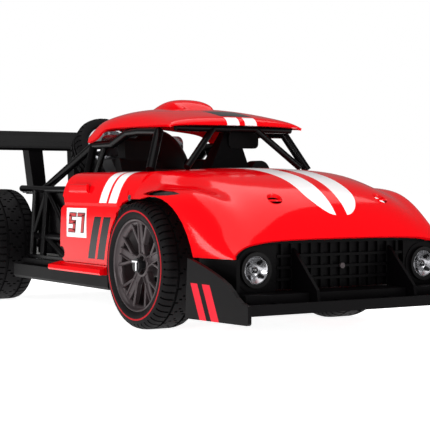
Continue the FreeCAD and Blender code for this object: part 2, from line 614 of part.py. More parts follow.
def engine_cover():
    """Domed shroud over the front of the engine, behind the seats."""
    dome = Part.makeSphere(10, Vector(0, 0, 0), Z, 0, 90, 360)
    stretch = FreeCAD.Matrix()
    stretch.scale(1.1, 2.45, 3.5)
    dome = dome.transformGeometry(stretch)
    dome.translate(Vector(-96, 0, DECK_Z))
    return dome


def engine_block():
    """Dummy engine on the deck behind its shroud."""
    body = block((-124, -17, DECK_Z), (-108, 17, 80))
    banks = [prism_yz([(5, 79), (17, 76), (21, 84), (9, 88)], -123, -109)]
    banks.append(mirrored(banks[0]))
    return joined([body] + banks)


def engine_intake():
    """Plated intake with four trumpets, and a rounded plated cover on each side of it."""
    plenum = rounded(block((-122, -6, 80), (-110, 6, 88)), 2.5, X)
    cover = rounded(block((-121, 10, 86), (-110, 27, 98)), 4, X)
    parts = [plenum, cover, mirrored(cover), rod((-115.5, -12, 90.2), (-115.5, 12, 90.2), 2)]
    for x in (-113, -118):
        for y in (-3.5, 3.5):
            parts.append(Part.makeCone(1.6, 2.6, 6, Vector(x, y, 87.5), Z))
    return joined(parts).cut(engine_block())


SPARE = Vector(-153, 0, 88.6)
SPARE_R = 22.5
SPARE_LEAN = -35.0


def spare_ring(profile):
    """A ring turned about the spare wheel's own axis, which leans back."""
    points = [Vector(offset, 0, radius) for radius, offset in profile]
    ring = Part.Face(Part.makePolygon(points + points[:1])).revolve(Vector(0, 0, 0), X, 360)
    ring.rotate(Vector(0, 0, 0), Y, SPARE_LEAN)
    ring.translate(SPARE)
    return ring


def spare_wheel_tyre():
    return spare_ring([(15.45, -6), (15.45, 6), (17, 7.4), (20.6, 7.4), (21.9, 6.2),
                       (SPARE_R, 4.6), (SPARE_R, -4.6), (21.9, -6.2), (20.6, -7.4), (17, -7.4)])


def spare_wheel_rim():
    return spare_ring([(15.4, -6.2), (15.4, 6.2), (14, 6.2), (13, 2), (3, 0.8), (1, 2.8),
                       (1, -2.6), (13, -1.8), (14, -6.2)])


def spare_wheel_bracket():
    """Leaning upright behind the spare wheel, with the stud that holds it and a foot."""
    arm = block((-10.4, -4, -24), (-8.2, 4, 4))
    stud = rod((-9, 0, 0), (4.2, 0, 0), 0.95)
    head = rod((2.9, 0, 0), (4.5, 0, 0), 2.2)
    shape = joined([arm, stud, head])
    shape.rotate(Vector(0, 0, 0), Y, SPARE_LEAN)
    shape.translate(SPARE)
    foot = block((-158, -9, DECK_Z), (-148.6, 9, DECK_Z + 3))
    return joined([shape, foot]).cut(block((-200, -50, 40), (-100, 50, DECK_Z)))


# ---- nose ----
def front_bumper():
    """Black nose moulding: face plate with the grille opening, lamp cups and side cheeks."""
    bar = block((70, -44, 42.5), (75.5, 44, 49))
    face = joined([block((73, -60.5, 19.7), (76, 60.5, 43)), bar])
    face = face.cut(block((60, -36.5, 22.5), (80, 36.5, 43.5)))
    parts = [face]
    for _, side in SIDES:
        y = side * HEADLIGHT[1]
        parts.append(rod((70, y, HEADLIGHT[2]), (76.4, y, HEADLIGHT[2]), 10.2))
        cheek = prism_xy([(57.5, 65.0), (81.5, 61.0), (81.5, 59.2), (57.5, 62.8)], 19.7, 37.3)
        parts.append(on_side(cheek, side))
    tray = prism_xy([(64.2, -62), (90, -62), (90, 62), (64.2, 62)], 19.6, 22.5)
    parts.append(tray)
    bumper = joined(parts)
    for _, side in SIDES:
        y = side * HEADLIGHT[1]
        bumper = bumper.cut(rod((66, y, HEADLIGHT[2]), (90, y, HEADLIGHT[2]), 8.0))
    return bumper


def grille_panel():
    """Slatted grille: a back plate with upright and level bars."""
    back = block((72.2, -36, 23), (73.6, 36, 43.4))
    uprights = [block((73.4, -33.2 + 5.5 * n, 23), (75.0, -31.8 + 5.5 * n, 43.4)) for n in range(13)]
    levels = [block((73.4, -36, z), (75.9, 36, z + 1.2)) for z in (27.0, 32.2, 37.4)]
    panel = joined([back] + uprights + levels)
    return panel


def grille_fins():
    fin = prism_xz([(76.2, 22.6), (76.2, 41.4), (77.8, 40.6), (94.8, 23.9), (95.8, 18.4),
                    (90.3, 18.4), (90.3, 22.6)], FIN_Y - 0.8, FIN_Y + 0.8)
    return pair(fin)


def splitter():
    """Low front blade with an upturned lip."""
    blade = prism_xy([(64.2, -66), (64.2, 66), (80, 68.8), (100.5, 68.8), (100.5, -68.8),
                      (80, -68.8)], 16.2, 18.2)
    lip = block((98.6, -68.8, 14.8), (100.5, 68.8, 19.4))
    ribs = [block((90.5, y - 0.7, 17), (99, y + 0.7, 19.2)) for y in (-48, -14, 14, 48)]
    step = block((64.2, -60, 18.0), (90, 60, 19.6))
    return joined([blade, lip, step] + ribs)


def end_plate(side):
    """Flat side plate of the splitter with a swept upper edge."""
    outline = [(55, 10.6), (104, 11.6), (NOSE_X, 12.4), (NOSE_X, 19.6), (100, 20.8), (96.5, 22.6),
               (93.6, 25.0), (90.0, 27.4), (85, 29.6), (78, 32.0), (70, 34.4), (62, 36.4),
               (57, 37.4)]
    plate = prism_xz(outline, PLATE_Y, PLATE_Y + 1.8)
    tab = block((64, 65.5, 24), (72, PLATE_Y + 0.2, 30))
    return on_side(joined([plate, tab]), side)


def headlight_bezels():
    x, y, z = HEADLIGHT
    ring = rod((x - 5, y, z), (x + 0.9, y, z), 7.9).cut(rod((x - 9, y, z), (x + 9, y, z), 6.4))
    return pair(ring)


def headlight_reflectors():
    x, y, z = HEADLIGHT
    dish = rod((x - 4, y, z), (x + 0.2, y, z), 6.3)
    dish = dish.cut(Part.makeCone(2.0, 5.9, 3.4, Vector(x - 3.1, y, z), X))
    dish = dish.cut(rod((x - 9, y, z), (x + 9, y, z), 1.9))
    return pair(dish)


def headlight_leds():
    x, y, z = HEADLIGHT
    lamp = rod((x - 5, y, z), (x - 1.2, y, z), 1.8)
    return pair(joined([lamp, Part.makeSphere(1.8, Vector(x - 1.2, y, z))]))


def fender_vents():
    """Mesh inserts that fill the slot behind the crown of each front wing."""
    outline = [(4, 63.4), (8, 65.6), (20, 66.4), (32, 65.8), (39, 64.2), (32, 63.2)]
    return pair(prism_xz(outline, 58.6, 59.6))


# ---- wing ----
def wing_blade():
    """Cambered blade between two end plates, moulded in one piece."""
    half = 64.0
    upper = [(-222, 93.2), (-226, 94.6), (-231, 97.6), (-236, 101.6), (-239.2, 104.6)]
    lower = [(-239.9, 103.6), (-237.4, 100.0), (-232.2, 95.8), (-226.4, 92.4), (-222.4, 91.6)]
    blade = prism_xz(upper + lower, -half, half)
    plates = []
    for side in (-1, 1):
        outline = [(-219, 88), (-219, 96), (-226, 102), (-236, 106), (TAIL_X, 106), (TAIL_X, 92),
                   (-232, 88)]
        plates.append(prism_xz(outline, side * half - 0.9, side * half + 0.9))
    return joined([blade] + plates)


def wing_posts():
    """Two tapered uprights from the tail of the deck to the underside of the blade."""
    levels = ((DECK_Z, -229, -219, 10, 19), (95, -233, -224, 11, 21))
    wires = []
    for z, x_low, x_high, y_low, y_high in levels:
        points = [Vector(x_low, y_low, z), Vector(x_high, y_low, z), Vector(x_high, y_high, z),
                  Vector(x_low, y_high, z)]
        wires.append(Part.makePolygon(points + points[:1]))
    post = Part.makeLoft(wires, True).cut(wing_blade())
    return pair(max(post.Solids, key=lambda solid: solid.Volume))


def body_screws():
    """Self-tapping screws that hold the doors, nose and roof."""
    screws = []
    for side in (-1, 1):
        for x, y, z in ((-14, 60.2, 63.2), (-89.5, 58.4, 33.5), (-89.5, 57.8, 60.5)):
            head = rod((x, side * y, z), (x, side * (y + 1.0), z), 1.5)
            cross = block((x - 0.9, min(side * (y + 0.6), side * (y + 1.2)), z - 0.2),
                          (x + 0.9, max(side * (y + 0.6), side * (y + 1.2)), z + 0.2))
            screws.append(head.cut(cross))
    screws.append(rod((75.9, 0, 32.8), (76.9, 0, 32.8), 1.3))
    for side in (-1, 1):
        screws.append(Part.makeCylinder(2.2, 1.0, Vector(66, side * 30.4, 58.0), Z))
    return Part.makeCompound(screws)


def build():
    os.makedirs("parts", exist_ok=True)
    save("front_clip", front_clip())
    save("fender_vents", fender_vents())
    roof = roof_panel()
    save("roof_panel", roof)
    save("roof_scoop", roof_scoop(roof))
    save("door_handles", pair(door_handle()))
    save("chassis_tub", chassis_tub())
    save("battery_cover", battery_cover())
    save("battery_pack", battery_pack())
    save("circuit_board", circuit_board())
    save("power_switch", power_switch())
    save("front_beam", front_beam())
    save("tie_rod", tie_rod())
    save("steering_servo", steering_servo())
    save("servo_arm", servo_arm())
    save("gearbox_housing", gearbox_housing())
    save("drive_motor", drive_motor())
    save("motor_pinion", motor_pinion())
    save("spur_gear", spur_gear())
    save("axle_bushes", axle_bushes())
    save("rear_axle", rear_axle())
    save("rear_rims", pair(rim(REAR_OUTER_Y, REAR_WIDTH, REAR_R, REAR_AXLE_X, 2.5)))
    save("rear_tyres", pair(tyre(REAR_OUTER_Y, REAR_WIDTH, REAR_R, REAR_AXLE_X)))
    save("windscreen_frame", windscreen_frame())
    save("rear_deck", rear_deck())
    save("cab_tray", cab_tray())
    save("roof_post", roof_post())
    save("engine_cover", engine_cover())
    save("engine_block", engine_block())
    save("engine_intake", engine_intake())
    save("spare_wheel_rim", spare_wheel_rim())
    save("spare_wheel_tyre", spare_wheel_tyre())
    save("spare_wheel_bracket", spare_wheel_bracket())
    save("front_bumper", front_bumper())
    save("grille_panel", grille_panel())
    save("grille_fins", grille_fins())
    save("splitter", splitter())
    save("headlight_bezels", headlight_bezels())
    save("headlight_reflectors", headlight_reflectors())
    save("headlight_leds", headlight_leds())
    save("wing_blade", wing_blade())
    save("wing_posts", wing_posts())
    save("body_screws", body_screws())
    for word, side in SIDES:
        save("side_panel_" + word, side_panel(side))
        save("running_board_" + word, running_board(side))
        save("cab_hoop_" + word, cab_hoop(side))
        save("rear_frame_" + word, rear_frame(side))
        save("end_plate_" + word, end_plate(side))
        save("seat_" + word, seat(side))
        save("knuckle_" + word, knuckle(side))
        front_rim = rim(FRONT_OUTER_Y, FRONT_WIDTH, FRONT_R, 0, 2.0 + FIT)
        save("front_rim_" + word, on_side(front_rim, side))
        save("front_tyre_" + word, on_side(tyre(FRONT_OUTER_Y, FRONT_WIDTH, FRONT_R, 0), side))


build()
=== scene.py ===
"""Looks of a remote-controlled drift car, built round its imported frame.

Places are in the row frame: +X runs to the nose, +Y to the car's left and +Z up. Sizes are
given in millimetres and turned to metres by mm().
"""

import logging
import math
from dataclasses import dataclass, field
from enum import Enum
from typing import Callable

import bpy
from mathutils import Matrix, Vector


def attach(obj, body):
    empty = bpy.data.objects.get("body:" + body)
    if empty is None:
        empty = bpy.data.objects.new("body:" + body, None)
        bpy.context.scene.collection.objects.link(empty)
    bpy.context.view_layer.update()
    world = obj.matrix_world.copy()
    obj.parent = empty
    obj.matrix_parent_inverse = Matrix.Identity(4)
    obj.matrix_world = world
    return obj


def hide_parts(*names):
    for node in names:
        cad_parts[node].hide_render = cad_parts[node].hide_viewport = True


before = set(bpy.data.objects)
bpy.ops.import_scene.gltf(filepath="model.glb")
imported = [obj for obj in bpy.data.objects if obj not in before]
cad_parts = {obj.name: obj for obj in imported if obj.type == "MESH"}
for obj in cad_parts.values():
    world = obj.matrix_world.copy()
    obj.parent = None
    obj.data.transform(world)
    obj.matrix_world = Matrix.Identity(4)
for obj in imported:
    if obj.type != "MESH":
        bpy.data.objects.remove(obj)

log = logging.getLogger("drift_car")
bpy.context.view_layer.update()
FRONT_AXLE = 67.5       # x of the front axle
TYRE_SHADING = 28       # degrees, past which a tyre's edge stays sharp
SHOULDER_SHARE = 0.27   # where the shoulder blocks end, as a share of the tyre's width
GROOVE_SHARE = 0.33     # where the groove beside them ends
EDGE_ANGLE = 32         # degrees, past which a rim's edge is bevelled
RIM_SHADING = 25        # degrees, past which a rim's edge stays sharp
AXES = {"X": Vector((1, 0, 0)), "Y": Vector((0, 1, 0)), "Z": Vector((0, 0, 1))}


# ---- units and editing helpers ----
def mm(value: float) -> float:
    """Turns millimetres into metres."""
    return value * 0.001


def place(x: float, y: float, z: float) -> Vector:
    """A point given in millimetres, as metres."""
    return Vector((mm(x), mm(y), mm(z)))


def activate(piece: bpy.types.Object) -> None:
    """Makes one object the only selected and active one, in object mode.

    Args:
        piece: the object to work on.
    """
    if bpy.context.object and bpy.context.object.mode != "OBJECT":
        bpy.ops.object.mode_set(mode="OBJECT")
    bpy.ops.object.select_all(action="DESELECT")
    piece.select_set(True)
    bpy.context.view_layer.objects.active = piece


def clear_selection() -> None:
    """Leaves nothing selected, ready for a new primitive."""
    if bpy.context.object and bpy.context.object.mode != "OBJECT":
        bpy.ops.object.mode_set(mode="OBJECT")
    bpy.ops.object.select_all(action="DESELECT")


def pick_faces(piece: bpy.types.Object,
               test: Callable[[bpy.types.MeshPolygon], bool]) -> None:
    """Enters edit mode with only the faces that pass a test selected.

    Args:
        piece: the mesh object to work on.
        test: takes a face and says whether it is wanted.
    """
    activate(piece)
    bpy.ops.object.mode_set(mode="EDIT")
    bpy.ops.mesh.select_mode(type="FACE")
    bpy.ops.mesh.select_all(action="DESELECT")
    bpy.ops.object.mode_set(mode="OBJECT")
    for face in piece.data.polygons:
        face.select = bool(test(face))
    bpy.ops.object.mode_set(mode="EDIT")


def modify(piece: bpy.types.Object, kind: str, **settings: object) -> None:
    """Adds a modifier with its settings and applies it at once.

    Args:
        piece: the mesh object to work on.
        kind: the modifier's type name.
        settings: attribute names of the modifier, with their values.
    """
    activate(piece)
    modifier = piece.modifiers.new(kind.title(), kind)
    for name, value in settings.items():
        setattr(modifier, name, value)
    bpy.ops.object.modifier_apply(modifier=modifier.name)


def soften(piece: bpy.types.Object, degrees: float = 35.0) -> bpy.types.Object:
    """Smooth shading that keeps edges sharper than an angle."""
    activate(piece)
    bpy.ops.object.shade_smooth_by_angle(angle=math.radians(degrees))
    return piece


def settle(piece: bpy.types.Object) -> bpy.types.Object:
    """Puts an object's place, turn and size into its mesh."""
    activate(piece)
    bpy.ops.object.transform_apply(location=True, rotation=True, scale=True)
    return piece


def block(name: str, low: Vector, high: Vector, bevel: float = 0.0) -> bpy.types.Object:
    """A cube primitive stretched between two corners, with rounded edges if asked.

    Args:
        name: the piece's name.
        low: lowest corner.
        high: highest corner.
        bevel: width of the rounded edges, in millimetres.

    Returns:
        The new object.
    """
    clear_selection()
    bpy.ops.mesh.primitive_cube_add(size=1, location=(low + high) / 2)
    piece = bpy.context.object
    piece.name = name
    piece.scale = high - low
    settle(piece)
    if bevel:
        modify(piece, "BEVEL", width=mm(bevel), segments=2, limit_method="ANGLE")
    return piece


def hull(name: str, corners: list[Vector]) -> bpy.types.Object:
    """A cube primitive whose eight corners are moved to given places.

    Args:
        name: the piece's name.
        corners: four corners of the first end in order round it, then four of the other.

    Returns:
        The new object.
    """
    clear_selection()
    bpy.ops.mesh.primitive_cube_add(size=2)
    piece = bpy.context.object
    piece.name = name
    order = {(-1, -1, -1): 0, (1, -1, -1): 1, (1, 1, -1): 2, (-1, 1, -1): 3,
             (-1, -1, 1): 4, (1, -1, 1): 5, (1, 1, 1): 6, (-1, 1, 1): 7}
    for vertex in piece.data.vertices:
        vertex.co = corners[order[tuple(round(value) for value in vertex.co)]]
    activate(piece)
    bpy.ops.object.mode_set(mode="EDIT")
    bpy.ops.mesh.select_all(action="SELECT")
    bpy.ops.mesh.normals_make_consistent(inside=False)
    bpy.ops.object.mode_set(mode="OBJECT")
    return piece


def spun(name: str, profile: list[tuple[float, float]], centre: Vector, axis: str = "Y",
         segments: int = 64) -> bpy.types.Object:
    """A ring turned from a line of points by extruding a vertex and spinning it.

    Args:
        name: the piece's name.
        profile: radius and offset along the axis of each point, in millimetres.
        centre: the point on the axis that offsets start from, in metres.
        axis: X or Y, the row axis to turn about.
        segments: steps round the axis.

    Returns:
        The new object.
    """
    along = AXES[axis]
    points = [centre + along * mm(offset) + AXES["Z"] * mm(radius) for radius, offset in profile]
    points.append(points[0])
    clear_selection()
    bpy.ops.mesh.primitive_plane_add(size=mm(1), location=(0, 0, 0))
    piece = bpy.context.object
    piece.name = name
    bpy.ops.object.mode_set(mode="EDIT")
    bpy.ops.mesh.select_mode(type="VERT")
    bpy.ops.mesh.select_all(action="SELECT")
    bpy.ops.mesh.merge(type="CENTER")
    bpy.ops.transform.translate(value=points[0])
    for start, end in zip(points, points[1:]):
        bpy.ops.mesh.extrude_region_move(TRANSFORM_OT_translate={"value": end - start})
    bpy.ops.mesh.select_all(action="SELECT")
    bpy.ops.mesh.spin(steps=segments, angle=math.tau, center=centre, axis=along)
    bpy.ops.mesh.select_all(action="SELECT")
    bpy.ops.mesh.remove_doubles(threshold=mm(0.004))
    bpy.ops.mesh.normals_make_consistent(inside=False)
    bpy.ops.object.mode_set(mode="OBJECT")
    return piece


def repeat_round(piece: bpy.types.Object, count: int, centre: Vector, axis: str) -> None:
    """Copies the whole mesh round an axis until there are count of it.

    Args:
        piece: the mesh object to work on.
        count: how many there are at the end.
        centre: a point on the axis, in metres.
        axis: X or Y, the row axis to turn about.
    """
    activate(piece)
    bpy.ops.object.mode_set(mode="EDIT")
    bpy.ops.mesh.select_all(action="SELECT")
    for _ in range(count - 1):
        bpy.ops.mesh.duplicate()
        bpy.ops.transform.rotate(value=math.tau / count, orient_axis=axis, center_override=centre)
    bpy.ops.object.mode_set(mode="OBJECT")


def join(name: str, pieces: list[bpy.types.Object]) -> bpy.types.Object:
    """Joins objects into the first one and names it.

    Args:
        name: the joined piece's name.
        pieces: the objects to join.

    Returns:
        The first object, which now holds them all.
    """
    activate(pieces[0])
    for piece in pieces[1:]:
        piece.select_set(True)
    bpy.ops.object.join()
    pieces[0].name = name
    return pieces[0]


def fit_out(piece: bpy.types.Object, body: str, slot: str, material: bpy.types.Material,
            *nodes: str) -> bpy.types.Object:
    """Gives a finished piece its material and body, and hides the CAD nodes it stands for.

    Args:
        piece: the finished piece.
        body: the body it moves with.
        slot: not used.
        material: the finish it gets.
        nodes: the CAD nodes it takes the place of.

    Returns:
        The same object.
    """
    piece.data.materials.clear()
    piece.data.materials.append(material)
    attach(piece, body)
    if nodes:
        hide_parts(*nodes)
    log.info("%s on %s, %d faces", piece.name, body, len(piece.data.polygons))
    return piece


# ---- finishes ----
def linear(colour: str) -> tuple[float, float, float, float]:
    """Turns an sRGB hex colour into linear red, green, blue and alpha.

    Args:
        colour: six hex digits after a hash sign.

    Returns:
        The four linear values.
    """
    parts = [int(colour[i:i + 2], 16) / 255 for i in (1, 3, 5)]
    red, green, blue = (c / 12.92 if c <= 0.04045 else ((c + 0.055) / 1.055) ** 2.4
                        for c in parts)
    return (red, green, blue, 1.0)


def add_node(tree: bpy.types.NodeTree, kind: str, settings: dict | None = None,
             links: dict | None = None) -> bpy.types.Node:
    """Adds a shader node.

    Args:
        tree: the material's node tree.
        kind: the node's type name without its ShaderNode prefix.
        settings: attribute names, or input sockets by number or name, with their values.
        links: input sockets by number or name, with the output socket that feeds each.

    Returns:
        The new node.
    """
    node = tree.nodes.new("ShaderNode" + kind)
    for key, value in (settings or {}).items():
        if isinstance(key, str) and hasattr(node, key):
            setattr(node, key, value)
        else:
            node.inputs[key].default_value = value
    for key, source in (links or {}).items():
        tree.links.new(source, node.inputs[key])
    return node


@dataclass(frozen=True)
class Print:
    """A colour printed on a surface inside a set of limits.

    Each limit is (weights, low, high): a point is inside where x, |y| and z in millimetres,
    times the weights, add up to a value between low and high. A nose is (x, y, reach, half):
    past x the print closes in an ellipse that is centred on |y| = y.
    """

    colour: str
    limits: tuple = ()
    nose: tuple | None = None


@dataclass(frozen=True)
class Finish:
    """A real finish: its colours, gloss and the grain its making leaves."""

    name: str
    colour: str
    shade: str
    roughness: float = 0.4
    wander: float = 0.05      # how far the roughness drifts over the surface
    metallic: float = 0.0
    coat: float = 0.0
    grain: float = 0.5        # size of the surface grain, mm
    relief: float = 0.01      # height of the grain, mm
    patch: float = 25.0       # size of the colour's slow drift, mm
    specular: float = 0.5     # strength of the bare surface's own reflection
    glow: float = 0.0         # light of its own, for the studio paper only
    prints: tuple = ()
    ring: tuple | None = None  # centre x, centre z, inner and outer radius, colour

    def build(self) -> bpy.types.Material:
        """Makes the material.

        Returns:
            The finished material.
        """
        material = bpy.data.materials.new(self.name)
        material.use_nodes = True
        tree = material.node_tree
        shader = tree.nodes["Principled BSDF"]
        where = add_node(tree, "TexCoord").outputs["Object"]
        drift = add_node(tree, "TexNoise", {"Scale": 1 / mm(self.patch), "Detail": 3.0},
                         {"Vector": where})
        colour = add_node(tree, "Mix", {"data_type": "RGBA", 6: linear(self.colour),
                                        7: linear(self.shade)}, {0: drift.outputs["Fac"]})
        gloss = add_node(tree, "MapRange", {3: self.roughness - self.wander,
                                            4: self.roughness + self.wander},
                         {0: drift.outputs["Fac"]})
        fine = add_node(tree, "TexNoise", {"Scale": 1 / mm(self.grain), "Detail": 2.0},
                        {"Vector": where})
        bump = add_node(tree, "Bump", {"Strength": 0.6, "Distance": mm(self.relief)},
                        {"Height": fine.outputs["Fac"]})
        shown = self._printed(tree, where, colour.outputs[2])
        tree.links.new(shown, shader.inputs["Base Color"])
        tree.links.new(gloss.outputs[0], shader.inputs["Roughness"])
        tree.links.new(bump.outputs[0], shader.inputs["Normal"])
        shader.inputs["Metallic"].default_value = self.metallic
        shader.inputs["Coat Weight"].default_value = self.coat
        shader.inputs["Coat Roughness"].default_value = 0.03
        shader.inputs["Specular IOR Level"].default_value = self.specular
        shader.inputs["Emission Color"].default_value = (1, 1, 1, 1)
        shader.inputs["Emission Strength"].default_value = self.glow
        return material

    def _printed(self, tree: bpy.types.NodeTree, where: bpy.types.NodeSocket,
                 under: bpy.types.NodeSocket) -> bpy.types.NodeSocket:
        """Lays the prints and the ring over the base colour.

        Args:
            tree: the material's node tree.
            where: the socket that gives the place on the object.
            under: the socket that gives the colour below.

        Returns:
            The socket of the colour on top.
        """
        if not self.prints and not self.ring:
            return under
        split = add_node(tree, "SeparateXYZ", {}, {0: where})
        side = add_node(tree, "Math", {"operation": "ABSOLUTE"}, {0: split.outputs[1]})
        folded = add_node(tree, "CombineXYZ", {}, {0: split.outputs[0], 1: side.outputs[0],
                                                  2: split.outputs[2]})
        for printed in self.prints:
            mask = None
            for weights, low, high in printed.limits:
                run = add_node(tree, "VectorMath", {"operation": "DOT_PRODUCT", 1: weights},
                               {0: folded.outputs[0]})
                inside = add_node(tree, "Math", {"operation": "COMPARE", 1: mm(low + high) / 2,
                                                 2: mm(high - low) / 2}, {0: run.outputs["Value"]})
                mask = self._both(tree, mask, inside.outputs[0])
            if printed.nose:
                x, y, reach, half = (mm(value) for value in printed.nose)
                past = add_node(tree, "Math", {"operation": "SUBTRACT", 1: x},
                                {0: split.outputs[0]})
                past = add_node(tree, "Math", {"operation": "MAXIMUM", 1: 0.0},
                                {0: past.outputs[0]})
                shift = add_node(tree, "Math", {"operation": "SUBTRACT", 1: y},
                                 {0: side.outputs[0]})
                pair = add_node(tree, "CombineXYZ", {}, {0: past.outputs[0],
                                                        1: shift.outputs[0]})
                scaled = add_node(tree, "VectorMath", {"operation": "MULTIPLY",
                                                       1: (1 / reach, 1 / half, 0)},
                                  {0: pair.outputs[0]})
                far = add_node(tree, "VectorMath", {"operation": "LENGTH"},
                               {0: scaled.outputs[0]})
                inside = add_node(tree, "Math", {"operation": "LESS_THAN", 1: 1.0},
                                  {0: far.outputs["Value"]})
                mask = self._both(tree, mask, inside.outputs[0])
            mixed = add_node(tree, "Mix", {"data_type": "RGBA", 7: linear(printed.colour)},
                             {0: mask, 6: under})
            under = mixed.outputs[2]
        if self.ring:
            x, z, inner, outer, colour = self.ring
            flat = add_node(tree, "CombineXYZ", {}, {0: split.outputs[0], 2: split.outputs[2]})
            centred = add_node(tree, "VectorMath", {"operation": "DISTANCE",
                                                    1: (mm(x), 0, mm(z))}, {0: flat.outputs[0]})
            inside = add_node(tree, "Math", {"operation": "COMPARE", 1: mm(inner + outer) / 2,
                                             2: mm(outer - inner) / 2},
                              {0: centred.outputs["Value"]})
            mixed = add_node(tree, "Mix", {"data_type": "RGBA", 7: linear(colour)},
                             {0: inside.outputs[0], 6: under})
            under = mixed.outputs[2]
        return under

    @staticmethod
    def _both(tree: bpy.types.NodeTree, first: bpy.types.NodeSocket | None,
              second: bpy.types.NodeSocket) -> bpy.types.NodeSocket:
        """The overlap of two masks, or the second alone when there is no first."""
        if first is None:
            return second
        return add_node(tree, "Math", {"operation": "MULTIPLY"}, {0: first, 1: second}).outputs[0]


RED, DEEP_RED = "#EE0410", "#E2030D"
WHITE_INK, BLACK_INK = "#F6F2F3", "#141214"
SLANT = (1, 0, -0.39)       # the door stripes lean forward as they rise
GROOVE_SLIP = 23.6          # what the lean takes off x at the door's groove
BAND_SLIP = 20.8            # the same at the foot of the plain band

# Door stripes: a white pair above the groove and a black pair below the plain band.
DOOR_PRINTS = tuple(
    Print(WHITE_INK, ((SLANT, low - GROOVE_SLIP + FRONT_AXLE, high - GROOVE_SLIP + FRONT_AXLE),
                      ((0, 0, 1), 60.4, 90), ((0, 1, 0), 47, 70)))
    for low, high in ((-45.7, -37.7), (-35.3, -26.8))
) + tuple(
    Print(BLACK_INK, ((SLANT, low - BAND_SLIP + FRONT_AXLE, high - BAND_SLIP + FRONT_AXLE),
                      ((0, 0, 1), 31.5, 53.3)))
    for low, high in ((-50.1, -42.4), (-39.9, -32.1))
) + (Print(WHITE_INK, (((1, 0, 0), -82.6 + FRONT_AXLE, -59.4 + FRONT_AXLE),
                       ((0, 0, 1), 42, 57.4))),)
BONNET_PRINTS = (Print(WHITE_INK, (((0, 1, 0), 3.2, 14.2), ((0, 0, 1), 50, 100)),
                       (130.5, 3.0, 13, 11.2)),)
ROOF_PRINTS = (
    Print(WHITE_INK, (((0, 1, 0), 1.7, 9.0), ((1, 0, 0), 45, 80), ((0, 0, 1), 90, 103.9))),
    Print(BLACK_INK, (((0, 1, 0), -1, 9.8), ((1, 0, 0), 38, 80), ((0, 0, 1), 104.4, 120))),
)
PLATE_PRINTS = tuple(
    Print("#D81E30", (((1, 0, 0.49), low, high), ((0, 1, 0), 70.5, 72), ((0, 0, 1), 5, 26.6)))
    for low, high in ((140.1, 145.7), (149.6, 155.8)))


def lacquered(name: str, prints: tuple = ()) -> Finish:
    """The body's red lacquer, with what is printed on it."""
    return Finish(name, RED, DEEP_RED, 0.13, 0.02, coat=0.14, specular=0.12, grain=3.0,
                  relief=0.006, prints=prints)


